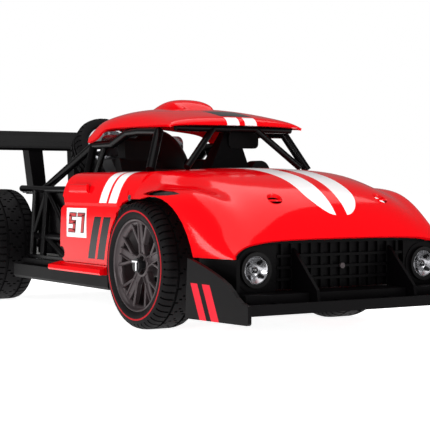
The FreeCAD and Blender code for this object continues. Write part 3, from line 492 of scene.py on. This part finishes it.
class Stock(Enum):
    """Every finish on the car, by its use."""

    # High-gloss ABS, moulded in colour and lacquered: deep even red, sharp highlights.
    DOOR = lacquered("lacquered_abs_door", DOOR_PRINTS)
    BONNET = lacquered("lacquered_abs_bonnet", BONNET_PRINTS)
    ROOF = lacquered("lacquered_abs_roof", ROOF_PRINTS)
    RED_BODY = lacquered("lacquered_abs")
    # Satin black ABS straight from a spark-eroded mould: soft sheen over a fine grain.
    MOULDING = Finish("eroded_abs_black", "#060506", "#040304", 0.42, 0.07, grain=0.35,
                      relief=0.02, specular=0.06)
    # The same moulding with red slashes printed on its outer face.
    PLATE = Finish("eroded_abs_plate", "#080607", "#050405", 0.40, 0.06, grain=0.35,
                   relief=0.02, specular=0.06, prints=PLATE_PRINTS)
    # Extruded nylon tube with a smoother, slightly shinier skin.
    TUBE = Finish("extruded_nylon_tube", "#060506", "#040304", 0.27, 0.05, grain=0.6,
                  relief=0.01, specular=0.12)
    # Smoother moulded ABS: a dark grey that shows the light along its crown.
    SHROUD = Finish("moulded_shroud", "#1C1718", "#100D0E", 0.3, 0.06, grain=0.8, relief=0.015,
                    specular=0.3)
    # Matt moulded ABS, coarser in grain, so it swallows most of the light.
    TRIM = Finish("matt_abs_trim", "#080708", "#050405", 0.5, 0.08, grain=0.4, relief=0.025,
                  specular=0.16)
    # Pierced ABS mesh. Its holes are painted as a coarse dark weave: painted shade for the dark
    # seen through them.
    MESH = Finish("pierced_abs_mesh", "#1B1112", "#060405", 0.5, 0.05, grain=1.2, relief=0.3,
                  patch=1.4)
    # Vacuum-metallised ABS: a bright mirror with a faint mottle from the base coat.
    CHROME = Finish("metallised_abs", "#E9E9EC", "#CFCFD4", 0.09, 0.05, metallic=1.0, grain=2.5,
                    relief=0.02, patch=9)
    # Smoked acrylic: nearly black, with one clear sharp highlight.
    LAMP = Finish("smoked_acrylic", "#101014", "#050507", 0.08, 0.02, coat=1.0, grain=2.0,
                  relief=0.004)
    # ABS moulded in grey: flat and even, with a fine eroded grain.
    ENGINE = Finish("grey_abs_engine", "#3A3A3C", "#242426", 0.5, 0.08, grain=0.4, relief=0.02)
    # Nylon moulded in pale grey: slightly waxy and dull.
    GEARBOX = Finish("grey_nylon_case", "#8C8B88", "#6F6E6C", 0.5, 0.08, grain=0.4, relief=0.02)
    # Zinc-plated steel: a cool soft mirror with cloudy patches.
    STEEL = Finish("zinc_plated_steel", "#7C7D80", "#606165", 0.34, 0.07, metallic=1.0,
                   grain=0.5, relief=0.008, patch=5)
    # Brass turned on a lathe: warm and fairly sharp.
    BRASS = Finish("turned_brass", "#C9A25A", "#A98340", 0.28, 0.05, metallic=1.0, grain=0.3,
                   relief=0.006, patch=4)
    # Nylon left in its natural cream: soft and slightly waxy.
    NYLON = Finish("natural_nylon", "#E2DDCC", "#CFC9B4", 0.45, 0.05, grain=0.5, relief=0.01)
    # Nylon filled with glass fibre: dark, with a rough fibrous bloom.
    BLACK_NYLON = Finish("glass_filled_nylon", "#1A191B", "#0F0E10", 0.5, 0.08, grain=0.3,
                         relief=0.02)
    # Gunmetal paint over ABS: fine metal flake in a satin grey.
    GUNMETAL = Finish("gunmetal_paint", "#4A4143", "#352D2F", 0.36, 0.06, metallic=0.4,
                      grain=0.25, relief=0.006, patch=6)
    # A pale grey for the rims' bevelled edges: a painted highlight along them.
    EDGE = Finish("gunmetal_highlight_edge", "#B0A8A9", "#8D8687", 0.35, 0.06, metallic=0.3,
                  grain=0.25, relief=0.006, patch=5)
    # Silver paint over ABS: bright flake under a satin skin.
    SILVER = Finish("silver_paint", "#C4C4C8", "#A2A2A6", 0.25, 0.06, metallic=0.8, grain=0.4,
                    relief=0.008, patch=8)
    # Soft vulcanised rubber: near black, dusty in places, with a dry sheen.
    RUBBER = Finish("vulcanised_rubber", "#0D0B0D", "#080708", 0.62, 0.09, grain=0.5,
                    relief=0.03, patch=14, specular=0.1)
    RINGED_RUBBER = Finish("vulcanised_rubber_ringed", "#0D0B0D", "#080708", 0.60, 0.09,
                           grain=0.5, relief=0.03, patch=14, specular=0.1,
                           ring=(FRONT_AXLE, 31.0, 25.7, 26.5, "#A8101C"))
    # Shrunk PVC film: blue, tight and shiny.
    WRAP = Finish("pvc_cell_wrap", "#1E3F8F", "#183374", 0.3, 0.05, grain=0.8, relief=0.02)
    # Pad-printed ink: flat red with a low gloss.
    INK = Finish("pad_printed_red", "#C2141C", "#AE1018", 0.3, 0.04, grain=0.8, relief=0.006)
    # The same ink in near black.
    DARK_INK = Finish("pad_printed_black", "#171517", "#0F0D0F", 0.35, 0.04, grain=0.8,
                      relief=0.006)
    # Solder mask: dark green with a glassy skin over copper tracks.
    BOARD = Finish("solder_mask", "#14522B", "#0E3E20", 0.35, 0.05, grain=0.6, relief=0.02,
                   patch=4)


CAD_FINISH = {
    Stock.RED_BODY: ("roof_scoop", "door_handles", "running_board_right", "running_board_left"),
    Stock.MOULDING: ("chassis_tub", "front_bumper", "grille_panel", "grille_fins", "splitter",
                     "wing_blade", "wing_posts", "rear_deck", "battery_cover", "roof_post",
                     "spare_wheel_bracket", "front_beam"),
    Stock.PLATE: ("end_plate_right", "end_plate_left"),
    Stock.TUBE: ("cab_hoop_right", "cab_hoop_left", "windscreen_frame", "rear_frame_right",
                 "rear_frame_left"),
    Stock.TRIM: ("cab_tray", "seat_right", "seat_left", "headlight_bezels"),
    Stock.SHROUD: ("engine_cover",),
    Stock.MESH: ("fender_vents",),
    Stock.CHROME: ("headlight_reflectors", "engine_intake"),
    Stock.LAMP: ("headlight_leds",),
    Stock.ENGINE: ("engine_block",),
    Stock.GEARBOX: ("gearbox_housing",),
    Stock.STEEL: ("drive_motor", "rear_axle"),
    Stock.BRASS: ("motor_pinion",),
    Stock.NYLON: ("spur_gear", "axle_bushes"),
    Stock.BLACK_NYLON: ("knuckle_right", "knuckle_left", "tie_rod", "servo_arm",
                        "steering_servo", "power_switch"),
    Stock.GUNMETAL: ("front_rim_right", "front_rim_left", "rear_rims", "body_screws"),
    Stock.SILVER: ("spare_wheel_rim",),
    Stock.RUBBER: ("rear_tyres", "spare_wheel_tyre"),
    Stock.RINGED_RUBBER: ("front_tyre_right", "front_tyre_left"),
    Stock.WRAP: ("battery_pack",),
    Stock.BOARD: ("circuit_board",),
    Stock.BONNET: ("front_clip",),
    Stock.DOOR: ("side_panel_right", "side_panel_left"),
    Stock.ROOF: ("roof_panel",),
}


class Workshop:
    """Builds each finish once and dresses the CAD nodes with them."""

    def __init__(self) -> None:
        """Starts with no material built."""
        self.built: dict[Stock, bpy.types.Material] = {}

    def get(self, stock: Stock) -> bpy.types.Material:
        """The material of a finish, built the first time it is asked for."""
        if stock not in self.built:
            self.built[stock] = stock.value.build()
        return self.built[stock]

    def dress(self) -> None:
        """Puts each CAD node's finish on its material slots."""
        for stock, nodes in CAD_FINISH.items():
            for node in nodes:
                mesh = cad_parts[node].data
                mesh.materials.clear()
                mesh.materials.append(self.get(stock))


# ---- wheels ----
def carve(tyre: bpy.types.Object, grooved: Callable[[bpy.types.MeshPolygon], bool],
          depth: float) -> bpy.types.Object:
    """Sinks the tread faces that pass a test.

    Args:
        tyre: the tyre to cut.
        grooved: says whether a face lies in a groove.
        depth: how deep the grooves go, in millimetres.

    Returns:
        The same object, softly shaded.
    """
    pick_faces(tyre, grooved)
    bpy.ops.mesh.extrude_region_shrink_fatten(
        MESH_OT_extrude_region={}, TRANSFORM_OT_shrink_fatten={"value": -mm(depth)})
    bpy.ops.object.mode_set(mode="OBJECT")
    return soften(tyre, TYRE_SHADING)


def edged(piece: bpy.types.Object, width: float) -> bpy.types.Object:
    """Bevels the sharp edges, with the bevels on the second material slot."""
    # The second slot gets the pale edge finish: a painted highlight along the bevels.
    modify(piece, "BEVEL", width=mm(width), segments=1, limit_method="ANGLE",
           angle_limit=math.radians(EDGE_ANGLE), material=1)
    return soften(piece, RIM_SHADING)


def mirror_span(side: int, low: float, high: float) -> tuple[float, float]:
    """The lower and the higher of two places, taken on one side of the middle."""
    first, last = sorted((side * low, side * high))
    return first, last


@dataclass(frozen=True)
class Wheel:
    """Where one road wheel sits and how it is cut, in millimetres."""

    body: str
    axle_x: float
    axle_z: float
    outer: float          # y of the outer face, on the left
    width: float
    radius: float
    side: int             # 1 on the left, -1 on the right
    slant: int            # how many faces the middle cuts shift from row to row
    steps: int = 208      # faces round the tyre
    pitch: int = 4        # faces from one shoulder groove to the next
    groove: float = 1.0
    crown: float = 2.6    # how far below the tread's top its cuts reach down the shoulder
    row: float = 0.07     # width of one row of middle cuts, as a share of the tyre's
    # width of the bevels that carry the painted edge highlight, mm
    highlight_bevel: float = 0.42
    spokes: int = 5

    def at(self, inset: float, rise: float = 0.0, shift: float = 0.0) -> Vector:
        """A point an inset in from the outer face, above and ahead of the axle."""
        return place(self.axle_x + shift, self.side * (self.outer - inset), self.axle_z + rise)

    def turned(self, name: str, profile: list[tuple[float, float]],
               segments: int) -> bpy.types.Object:
        """A ring from points that give a radius and an inset."""
        line = [(radius, -self.side * inset) for radius, inset in profile]
        return spun(name, line, self.at(0), "Y", segments)

    def bar(self, name: str, radii: tuple, spans: tuple, insets: tuple,
            depth: float) -> bpy.types.Object:
        """A tapered bar that stands up from the axle.

        Args:
            name: the piece's name.
            radii: radius of each end.
            spans: lowest and highest shift ahead of the axle at each end.
            insets: how far in the outer face lies at each end.
            depth: thickness along the axle.

        Returns:
            The new object.
        """
        corners = []
        for radius, (low, high), inset in zip(radii, spans, insets):
            corners += [self.at(inset, radius, low), self.at(inset, radius, high),
                        self.at(inset + depth, radius, high), self.at(inset + depth, radius, low)]
        return hull(name, corners)

    def rim(self, name: str) -> bpy.types.Object:
        """A rim with a stepped barrel, a cupped hub and spokes that fork to the barrel.

        Args:
            name: the piece's name.

        Returns:
            The new object, with its edges on the second material slot.
        """
        back, hub_end = self.width - 1, self.width - 4
        barrel = self.turned("barrel", [(22.5, 0.8), (22.5, back), (20.8, back),
                                        (20.3, back - 5), (20.3, 6.2), (19.4, 5.4), (19.6, 3.6),
                                        (20.9, 2.9), (21.5, 0.8)], 96)
        hub = self.turned("hub", [(2.6, 7.5), (2.6, hub_end), (5.4, hub_end), (6.2, 8.0),
                                  (6.0, 4.4), (5.2, 3.8), (4.4, 4.2), (4.0, 7.5)], 48)
        parts = [self.bar("trunk", (5.0, 20.6), ((-2.2, 2.2), (-1.7, 1.7)), (4.9, 3.6), 3.2)]
        for lean in (-1, 1):
            fork = (mirror_span(lean, 0.7, 2.3), mirror_span(lean, 6.6, 8.3))
            parts.append(self.bar("arm", (9.4, 19.8), fork, (3.9, 2.6), 3.0))
            rail = (mirror_span(lean, 1.6, 2.7), mirror_span(lean, 1.3, 2.1))
            parts.append(self.bar("rail", (5.0, 20.6), rail, (4.2, 2.8), 3.4))
        star = join("star", parts)
        repeat_round(star, self.spokes, self.at(0), "Y")
        return edged(join(name, [barrel, hub, star]), self.highlight_bevel)

    def tyre(self, name: str) -> bpy.types.Object:
        """A tyre with block shoulders, two grooves round it and slanted cuts in its middle.

        Args:
            name: the piece's name.

        Returns:
            The new object.
        """
        high, width = self.radius, self.width
        wall = [(22.55, 1.0), (23.5, 0.35), (high - 5.9, 0.0), (high - 4.0, 0.0),
                (high - 2.9, 0.3), (high - 1.6, 1.1), (high - 0.7, 2.4), (high - 0.2, 4.2),
                (high, SHOULDER_SHARE * width), (high, GROOVE_SHARE * width),
                (high, 0.40 * width), (high, 0.47 * width)]
        profile = wall + [(radius, width - inset) for radius, inset in wall[::-1]]
        return carve(self.turned(name, profile, self.steps), self._grooved, self.groove)

    def _grooved(self, face: bpy.types.MeshPolygon) -> bool:
        """Whether a face lies in a groove of the tread.

        Args:
            face: a face of the tyre.

        Returns:
            True where the tread is cut away.
        """
        x, z = face.center.x - mm(self.axle_x), face.center.z - mm(self.axle_z)
        inset = self.outer - self.side * face.center.y / mm(1)
        share = min(inset, self.width - inset) / self.width
        step = math.floor((math.atan2(x, z) / math.tau + 1) * self.steps)
        if math.hypot(x, z) / mm(1) < self.radius - self.crown:
            return False
        if share < SHOULDER_SHARE:
            return step % self.pitch == 0
        if share < GROOVE_SHARE:
            return True
        return (step + self.slant * math.floor(share / self.row)) % (2 * self.pitch) == 0


@dataclass(frozen=True)
class RoadWheels:
    """The four road wheels, with a small plated key on each front hub."""

    reach: float = 194.5       # from the front axle back to the rear one
    key_y: tuple = (65.5, 66.2)
    key_bars: tuple = ((-2.6, 2.6, 32.4, 33.4), (0.7, 1.8, 28.4, 33.0))  # x and z limits

    def build(self, workshop: Workshop) -> None:
        """Builds and dresses all four wheels.

        Args:
            workshop: gives the finishes.
        """
        for word, side in (("right", -1), ("left", 1)):
            self._front(workshop, word, side)
        self._rear(workshop)

    def _front(self, workshop: Workshop, word: str, side: int) -> None:
        """One steered wheel.

        Args:
            workshop: gives the finishes.
            word: the side's name.
            side: 1 on the left, -1 on the right.
        """
        wheel = Wheel(f"front_wheel_{word}", FRONT_AXLE, 31.0, 66.5, 23.0, 31.0, side, 2)
        rim = wheel.rim(f"front_spoked_rim_{word}")
        fit_out(rim, wheel.body, "gunmetal_rim", workshop.get(Stock.GUNMETAL),
                f"front_rim_{word}").data.materials.append(workshop.get(Stock.EDGE))
        tyre = wheel.tyre(f"front_treaded_tyre_{word}")
        fit_out(tyre, wheel.body, "tyre_rubber", workshop.get(Stock.RINGED_RUBBER),
                f"front_tyre_{word}")
        low, high = mirror_span(side, *self.key_y)
        bars = [block("bar", place(FRONT_AXLE + near, low, base),
                      place(FRONT_AXLE + far, high, top), 0.2)
                for near, far, base, top in self.key_bars]
        fit_out(join(f"hub_key_{word}", bars), wheel.body, "chrome_plate",
                workshop.get(Stock.CHROME))

    def _rear(self, workshop: Workshop) -> None:
        """Both driven wheels, joined as one piece for the rims and one for the tyres.

        Args:
            workshop: gives the finishes.
        """
        rims, tyres = [], []
        for side in (-1, 1):
            wheel = Wheel("rear_axle", FRONT_AXLE - self.reach, 33.5, 70.0, 28.0, 33.5, side, -2)
            rims.append(wheel.rim("rear_spoked_rim"))
            tyres.append(wheel.tyre("rear_treaded_tyre"))
        fit_out(join("rear_spoked_rims", rims), "rear_axle", "gunmetal_rim",
                workshop.get(Stock.GUNMETAL), "rear_rims").data.materials.append(
                    workshop.get(Stock.EDGE))
        fit_out(join("rear_treaded_tyres", tyres), "rear_axle", "tyre_rubber",
                workshop.get(Stock.RUBBER), "rear_tyres")


@dataclass(frozen=True)
class SpareWheel:
    """The small spare wheel, made about the origin and then leant back on its bracket."""

    at: tuple = (FRONT_AXLE - 153, 0, 88.6)
    lean: float = -35.0
    steps: int = 144
    pitch: int = 4
    groove: float = 0.7
    crown: float = 20.8        # radius past which the tread is cut
    ring: tuple = (1.0, 2.2)   # where a groove round the crown starts and ends
    # width of the bevels that carry the painted edge highlight, mm
    highlight_bevel: float = 0.25

    def build(self, workshop: Workshop) -> None:
        """Builds and dresses the tyre and the rim.

        Args:
            workshop: gives the finishes.
        """
        fit_out(self._lean_back(self._tyre()), "chassis", "tyre_rubber",
                workshop.get(Stock.RUBBER), "spare_wheel_tyre")
        fit_out(self._lean_back(self._rim()), "chassis", "silver_rim",
                workshop.get(Stock.SILVER), "spare_wheel_rim").data.materials.append(
                    workshop.get(Stock.EDGE))

    def _lean_back(self, piece: bpy.types.Object) -> bpy.types.Object:
        """Leans a piece back and stands it at the wheel's place."""
        piece.rotation_euler = (0, math.radians(self.lean), 0)
        piece.location = place(*self.at)
        return settle(piece)

    def _tyre(self) -> bpy.types.Object:
        """A tyre with two grooves round its crown and cuts across its shoulders.

        Returns:
            The new object.
        """
        half = [(15.45, 6), (16.4, 7), (18.4, 7.4), (20.4, 7.2), (21.7, 6.2), (22.4, 4.6),
                (22.5, 2.4), (22.5, 0.8)]
        profile = [(15.45, -6)] + half + [(radius, -offset) for radius, offset in half[:0:-1]]
        tyre = spun("spare_treaded_tyre", profile, Vector((0, 0, 0)), "X", self.steps)
        return carve(tyre, self._grooved, self.groove)

    def _grooved(self, face: bpy.types.MeshPolygon) -> bool:
        """Whether a face lies in a groove of the tread.

        Args:
            face: a face of the tyre.

        Returns:
            True where the tread is cut away.
        """
        turn = math.atan2(face.center.y, face.center.z) / math.tau + 1
        step = math.floor(turn * self.steps)
        across = abs(face.center.x) / mm(1)
        crown = math.hypot(face.center.y, face.center.z) / mm(1) > self.crown
        near, far = self.ring
        return crown and (near < across < far or (across >= far and step % self.pitch == 0))

    def _rim(self) -> bpy.types.Object:
        """A barrel, a shallow dish and five pairs of short spokes.

        Returns:
            The new object, with its edges on the second material slot.
        """
        origin = Vector((0, 0, 0))
        barrel = spun("barrel", [(15.4, -6.2), (15.4, 6.2), (14.2, 6.2), (13.4, 4.6),
                                 (13.2, -4.6), (14.2, -6.2)], origin, "X", 72)
        dish = spun("dish", [(13.4, 1.4), (3.4, 0.6), (1.0, 2.8), (1.0, -2.4), (13.4, -1.4)],
                    origin, "X", 72)
        spokes = []
        for side in (-1, 1):
            ends = []
            for radius, low, high, front in ((3.2, 0.4, 1.8, 3.4), (13.4, 1.6, 3.4, 4.6)):
                near, far = mirror_span(side, low, high)
                ends += [place(front, near, radius), place(front, far, radius),
                         place(0.4, far, radius), place(0.4, near, radius)]
            spokes.append(hull("spoke", ends))
        star = join("star", spokes)
        repeat_round(star, 5, origin, "X")
        return edged(join("spare_spoked_rim", [barrel, dish, star]), self.highlight_bevel)


# ---- lamps, nose and number ----
@dataclass(frozen=True)
class HeadLamps:
    """The two lamp dishes, each with four dark slots."""

    ahead: float = FRONT_AXLE + 77.0
    out: float = 48.0
    up: float = 32.3
    slot_turn: float = 40.0
    slot_half: float = 0.75

    def build(self, workshop: Workshop) -> None:
        """Builds and dresses the dishes and the slots.

        Args:
            workshop: gives the finishes.
        """
        dishes, slots = [], []
        for side in (-1, 1):
            centre = place(self.ahead, side * self.out, self.up)
            dishes.append(spun("dish", [(6.3, -4), (6.3, 0.3), (5.9, 0.6), (5.4, 0.3),
                                        (4.4, -1.4), (2.6, -2.4), (1.9, -2.6), (1.9, -4)],
                               centre, "X", 64))
            slots.append(self._slots(centre))
        fit_out(soften(join("lamp_dishes", dishes)), "chassis", "chrome_plate",
                workshop.get(Stock.SILVER), "headlight_reflectors")
        fit_out(join("lamp_slots", slots), "chassis", "black_trim", workshop.get(Stock.TRIM))

    def _slots(self, centre: Vector) -> bpy.types.Object:
        """The four dark slots of one lamp.

        Args:
            centre: the middle of the lamp.

        Returns:
            The new object.
        """
        half, corners = self.slot_half, []
        for rise, front, rear in ((3.3, -1.2, -2.6), (6.25, 0.85, -0.6)):
            for depth, across in ((front, -half), (front, half), (rear, half), (rear, -half)):
                corners.append(centre + place(depth, across, rise))
        slot = hull("slot", corners)
        activate(slot)
        bpy.ops.object.mode_set(mode="EDIT")
        bpy.ops.mesh.select_all(action="SELECT")
        bpy.ops.transform.rotate(value=math.radians(self.slot_turn), orient_axis="X",
                                 center_override=centre)
        bpy.ops.object.mode_set(mode="OBJECT")
        repeat_round(slot, 4, centre, "X")
        return slot


@dataclass(frozen=True)
class DoorNumbers:
    """The race number on each door, in thin printed strokes over a wider dark outline."""

    wide: float = 7.6
    tall: float = 9.8
    lean: float = 1.6
    foot: float = 44.8
    digits: tuple = (("5", -80.2), ("7", -70.4))   # each with its left edge on the right door
    turn_about: float = -142.0                     # twice the panel's middle
    inner: float = 61.5
    layers: tuple = ((0.0, 62.14), (0.42, 62.08))  # growth of a stroke and y of its face
    strokes: dict = field(default_factory=lambda: {
        "5": ((0, 1.7, 1, 2), (0, 1.15, 0.32, 1.85), (0, 0.9, 1, 1.2), (0.68, 0.15, 1, 1.1),
              (0, 0, 1, 0.3)),
        "7": ((0, 1.7, 1, 2), (0.66, 0, 1, 1.85))})

    def build(self, workshop: Workshop) -> None:
        """Builds and dresses the strokes and their outline.

        Args:
            workshop: gives the finishes.
        """
        printed = ([], [])
        for side in (-1, 1):
            for digit, start in self.digits:
                for limits in self.strokes[digit]:
                    for group, (grow, outer) in zip(printed, self.layers):
                        group.append(self._stroke(side, start, limits, grow, outer))
        fit_out(join("number_strokes", printed[0]), "chassis", "red_body",
                workshop.get(Stock.INK))
        fit_out(join("number_outline", printed[1]), "chassis", "black_trim",
                workshop.get(Stock.DARK_INK))

    def _stroke(self, side: int, start: float, limits: tuple, grow: float,
                outer: float) -> bpy.types.Object:
        """One leaning stroke.

        Args:
            side: 1 on the left door, -1 on the right.
            start: left edge of the digit on the right door.
            limits: left, low, right and high, in widths and half heights of a digit.
            grow: how far the stroke is widened all round.
            outer: y of its face.

        Returns:
            The new object.
        """
        left, low, right, high = limits
        corners = []
        for rise in (low * self.tall / 2 - grow, high * self.tall / 2 + grow):
            slip = rise * self.lean / self.tall
            ends = [start + left * self.wide - grow + slip,
                    start + right * self.wide + grow + slip]
            if side > 0:
                ends = [self.turn_about - end for end in ends]
            near, far = (FRONT_AXLE + end for end in ends)
            for x, y in ((near, self.inner), (far, self.inner), (far, outer), (near, outer)):
                corners.append(place(x, side * y, self.foot + rise))
        return hull("stroke", corners)


@dataclass(frozen=True)
class NoseDetails:
    """The fillers behind the lip of the nose and the floors of the two bonnet wells."""

    filler_x: tuple = (70.5, 75.4)
    filler_y: tuple = (43.5, 50.5)
    filler_z: tuple = (41.5, 47.6)
    well: tuple = (66.0, 30.4, 62.6)
    well_radius: float = 3.45
    well_depth: float = 0.8

    def build(self, workshop: Workshop) -> None:
        """Builds and dresses the fillers and the wells.

        Args:
            workshop: gives the finishes.
        """
        fillers, wells = [], []
        for side in (-1, 1):
            near, far = mirror_span(side, *self.filler_y)
            fillers.append(block("filler",
                                 place(FRONT_AXLE + self.filler_x[0], near, self.filler_z[0]),
                                 place(FRONT_AXLE + self.filler_x[1], far, self.filler_z[1]),
                                 0.4))
            x, y, z = self.well
            clear_selection()
            bpy.ops.mesh.primitive_cylinder_add(vertices=40, radius=mm(self.well_radius),
                                                depth=mm(self.well_depth),
                                                location=place(FRONT_AXLE + x, side * y, z))
            wells.append(settle(bpy.context.object))
        fit_out(join("nose_fillers", fillers), "chassis", "black_moulding",
                workshop.get(Stock.MOULDING))
        fit_out(soften(join("bonnet_wells", wells)), "chassis", "red_body",
                workshop.get(Stock.RED_BODY))


# ---- studio ----
@dataclass
class Studio:
    """Pale floor, white surround, soft lights and the camera."""

    focal: float = 109.14
    camera_at: tuple = (615.65, -366.78, 69.64)
    azimuth: float = 57.71
    elevation: float = 1.33

    def build(self) -> None:
        """Makes the floor, surround, lights and camera."""
        self._floor()
        self._surround()
        self._light("overhead_softbox", (40, 40, 900), (0, 0, 60), (1400, 900), 7.2)
        self._light("side_softbox", (-40, -820, 260), (0, -20, 50), (700, 120), 2.2)
        self._light("front_softbox", (900, 60, 240), (80, 0, 50), (120, 500), 2.2)
        self._light("edge_strip", (420, -420, 150), (100, -55, 50), (16, 130), 0.5)
        self._camera()

    def _floor(self) -> None:
        """A wide pale floor just under the tyres."""
        clear_selection()
        bpy.ops.mesh.primitive_plane_add(size=12)
        floor = bpy.context.object
        floor.name = "studio_floor"
        paper = Finish("studio_paper", "#F7F7F7", "#F4F4F4", 0.9, 0.02, grain=2, relief=0.01,
                       specular=0.0, glow=0.92)
        floor.data.materials.append(paper.build())

    def _surround(self) -> None:
        """A white surround that lights the car evenly from all round."""
        world = bpy.data.worlds.new("studio_surround")
        bpy.context.scene.world = world
        world.use_nodes = True
        tree = world.node_tree
        tree.nodes.clear()
        seen = add_node(tree, "Background", {0: (1, 1, 1, 1), 1: 1.0})
        lit = add_node(tree, "Background", {0: (1, 1, 1, 1), 1: 0.19})
        path = add_node(tree, "LightPath")
        mixed = add_node(tree, "MixShader", {}, {0: path.outputs["Is Camera Ray"],
                                                 1: lit.outputs[0], 2: seen.outputs[0]})
        add_node(tree, "OutputWorld", {}, {0: mixed.outputs[0]})
        bpy.context.scene.view_settings.view_transform = "Standard"

    def _light(self, name: str, at: tuple, aim: tuple, size: tuple, watts: float) -> None:
        """One soft rectangular light, in millimetres and watts.

        Args:
            name: the light's name.
            at: where it stands.
            aim: the point it faces.
            size: its width and height.
            watts: its power.
        """
        data = bpy.data.lights.new(name, "AREA")
        data.shape = "RECTANGLE"
        data.size, data.size_y = mm(size[0]), mm(size[1])
        data.energy = watts
        light = bpy.data.objects.new(name, data)
        light.location = place(*at)
        light.rotation_euler = (place(*aim) - place(*at)).to_track_quat("-Z", "Y").to_euler()
        bpy.context.scene.collection.objects.link(light)

    def _camera(self) -> None:
        """The three-quarter view from the right front, low down."""
        data = bpy.data.cameras.new("camera")
        data.lens, data.sensor_width = self.focal, 36.0
        data.clip_start, data.clip_end = 0.01, 50.0
        camera = bpy.data.objects.new("camera", data)
        turn, rise = math.radians(self.azimuth), math.radians(self.elevation)
        back = Vector((math.sin(turn) * math.cos(rise), -math.cos(turn) * math.cos(rise),
                       math.sin(rise)))
        camera.location = place(*self.camera_at)
        camera.rotation_euler = (-back).to_track_quat("-Z", "Y").to_euler()
        bpy.context.scene.collection.objects.link(camera)
        bpy.context.scene.camera = camera


def main() -> None:
    """Builds the whole car in order."""
    logging.basicConfig(level=logging.INFO, format="%(name)s: %(message)s")
    Studio().build()
    workshop = Workshop()
    workshop.dress()
    for assembly in (RoadWheels(), SpareWheel(), HeadLamps(), DoorNumbers(), NoseDetails()):
        log.info("%s", type(assembly).__name__)
        assembly.build(workshop)


if __name__ == "__main__":
    main()
